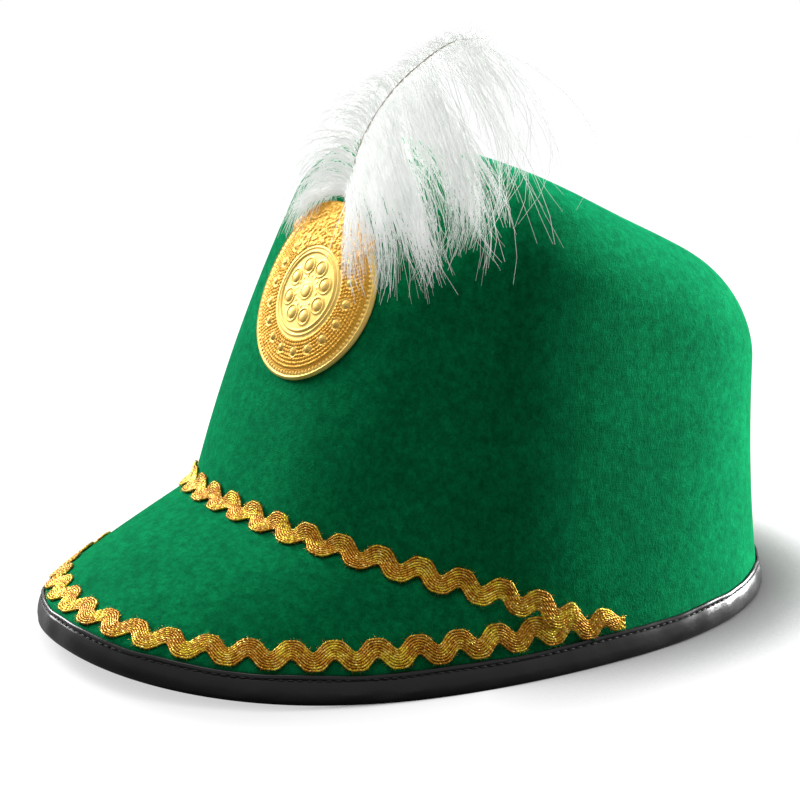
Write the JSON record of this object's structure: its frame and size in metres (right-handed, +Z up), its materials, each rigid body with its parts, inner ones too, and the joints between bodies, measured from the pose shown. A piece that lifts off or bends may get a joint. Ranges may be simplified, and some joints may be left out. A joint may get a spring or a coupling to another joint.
{
  "type": "felt shako hat",
  "caption": "Felt shako cap with a sloping crown, rounded peak, bound rim, wavy gold braid, a stamped round badge and a white feather plume.",
  "frame": {"origin": "middle of the rim's footprint, on the surface that the hat rests on", "axes": "+Z up, -Y towards the front of the peak, +X towards the side that the plume falls over"},
  "size_m": [0.1846, 0.257, 0.1911],
  "materials": {
    "felt": "matt green pressed felt",
    "binding": "glossy black vinyl strip",
    "gold_braid": "metallic gold thread, woven",
    "badge_metal": "bright stamped gold-coloured metal",
    "feather": "soft white ostrich feather"
  },
  "bodies": {
    "root": {"crown": "felt", "peak": "felt", "rim_binding": "binding", "upper_braid": "gold_braid", "lower_braid": "gold_braid", "badge": "badge_metal", "feather": "feather"}
  },
  "joints": []
}
